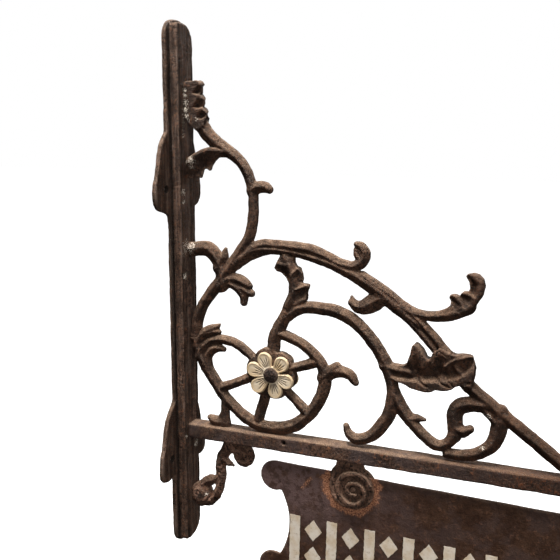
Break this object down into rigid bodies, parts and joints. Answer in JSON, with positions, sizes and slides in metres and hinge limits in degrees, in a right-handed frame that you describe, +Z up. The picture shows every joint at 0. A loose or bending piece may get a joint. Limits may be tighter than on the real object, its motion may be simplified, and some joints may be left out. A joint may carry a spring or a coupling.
{
  "type": "wall sign bracket",
  "caption": "Cast-iron wall bracket with scrollwork, a painted flower rosette, a square arm and a hanging sign plate.",
  "frame": {"origin": "on the wall face, at mid-width and mid-height of the wall plate", "axes": "+X along the arm, away from the wall; +Z up; the sign's two faces look along -Y and +Y"},
  "size_m": [0.5629, 0.096, 0.5974],
  "materials": {
    "wall_plate": "rusted dark brown",
    "scrollwork": "rusted dark brown, dusty on top",
    "arm_bar": "rusted brown with worn edges",
    "petal_paint": "aged cream paint",
    "rivets": "dark, rough",
    "hangers": "dark with worn ridges",
    "sign_plate": "weathered dark paint with a cream stencilled frieze and rust"
  },
  "bodies": {
    "root": {"wall_plate": "wall_plate", "post_rail": "wall_plate", "arm_bar": "arm_bar", "rosette_hub": "scrollwork", "leaf_cluster": "scrollwork", "main_stem": "scrollwork", "wheel_rim_left": "scrollwork", "wheel_rim_base": "scrollwork", "wheel_rim_right": "scrollwork", "top_leaf": "scrollwork", "upper_arc": "scrollwork", "diagonal_upper": "scrollwork", "diagonal_lower": "scrollwork", "inner_arc": "scrollwork", "centre_leaf": "scrollwork", "stem_bud": "scrollwork", "upper_branch": "scrollwork", "side_branch": "scrollwork", "hanging_leaf": "scrollwork", "small_leaf": "scrollwork", "hook_scroll": "scrollwork", "thorn_stem": "scrollwork", "ring_scroll_top": "scrollwork", "ring_scroll_foot": "scrollwork", "wheel_crook": "scrollwork", "wheel_leaf_outer": "scrollwork", "wheel_leaf_inner": "scrollwork", "wheel_bud": "scrollwork", "foot_leaf": "scrollwork", "spoke_left": "scrollwork", "spoke_right": "scrollwork", "spoke_low_right": "scrollwork", "spoke_low_left": "scrollwork", "under_scroll": "scrollwork", "under_knob": "scrollwork", "under_curl": "scrollwork", "arm_finial": "scrollwork", "rosette_front": "petal_paint", "rosette_back": "petal_paint", "rosette_rivet": "rivets", "sign_plate": "sign_plate", "hanger_left_front": "hangers", "hanger_left_back": "hangers", "hanger_left_pin": "rivets", "hanger_right_front": "hangers", "hanger_right_back": "hangers", "hanger_right_pin": "rivets"}
  },
  "joints": []
}
